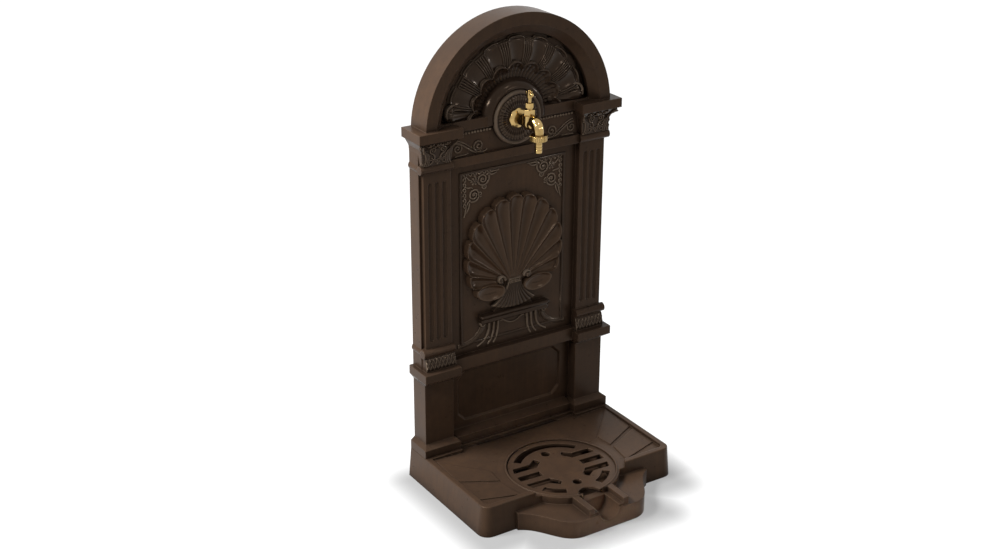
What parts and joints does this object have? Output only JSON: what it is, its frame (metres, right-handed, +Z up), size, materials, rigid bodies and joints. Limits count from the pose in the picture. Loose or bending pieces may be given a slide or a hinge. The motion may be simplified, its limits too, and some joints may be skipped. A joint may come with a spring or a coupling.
{
  "type": "garden fountain",
  "caption": "Arched garden wall fountain with a brass bib tap over a scallop shell panel, standing on a drain tray with a round lift-out grate and an overflow channel.",
  "frame": {"origin": "bottom centre of the whole object", "axes": "+Z up, the front with the tap faces -Y, the flat back of the column is at the +Y end"},
  "size_m": [0.412, 0.34, 0.844],
  "materials": {
    "moulding": "satin dark brown moulded resin",
    "brass": "polished",
    "pipe": "plain plastic pipe",
    "rubber": "matt",
    "steel": "plated"
  },
  "bodies": {
    "fountain": {"column_shell": "moulding", "base_tray": "moulding", "rear_cover": "moulding", "rear_cover_screws": "steel", "column_base_bolts": "steel", "column_base_washers": "steel", "tap_wall_flange": "brass", "tap_body": "brass", "tap_bonnet": "brass", "gland_nut": "brass", "gland_packing": "rubber", "tap_fibre_washer": "rubber", "tap_backnut": "brass", "supply_elbow": "brass", "pipe_olive": "brass", "pipe_nut": "brass", "riser_pipe": "pipe", "inlet_connector": "brass", "inlet_locknut": "brass"},
    "valve": {"valve_jumper": "brass", "valve_washer": "rubber"},
    "spindle": {"tap_spindle": "brass", "tap_handle": "brass", "handle_screw": "brass"},
    "hose": {"hose_tail": "brass", "union_washer": "rubber"},
    "nut": {"union_nut": "brass"},
    "grate": {"drain_grate": "moulding"}
  },
  "joints": [
    {"name": "valve_lift", "type": "slide", "parent": "fountain", "child": "valve", "axis": [0, 0, 1], "range_m": [0, 0.0044]},
    {"name": "handle_turn", "type": "hinge", "parent": "valve", "child": "spindle", "pos_m": [0, 0.095, 0.7], "axis": [0, 0, 1], "range_deg": [0, 720]},
    {"name": "hose_drop", "type": "slide", "parent": "fountain", "child": "hose", "axis": [0, 0, -1], "range_m": [0, 0.0055]},
    {"name": "nut_turn", "type": "hinge", "parent": "hose", "child": "nut", "pos_m": [0, 0.066, 0.64], "axis": [0, 0, 1], "range_deg": [0, 1080]},
    {"name": "grate_lift", "type": "slide", "parent": "fountain", "child": "grate", "axis": [0, 0, 1], "range_m": [0, 0.04]}
  ],
  "couplings": [
    {"joint": "valve_lift", "follows": "handle_turn", "m_per_rad": 0.000318},
    {"joint": "hose_drop", "follows": "nut_turn", "m_per_rad": 0.000287}
  ]
}
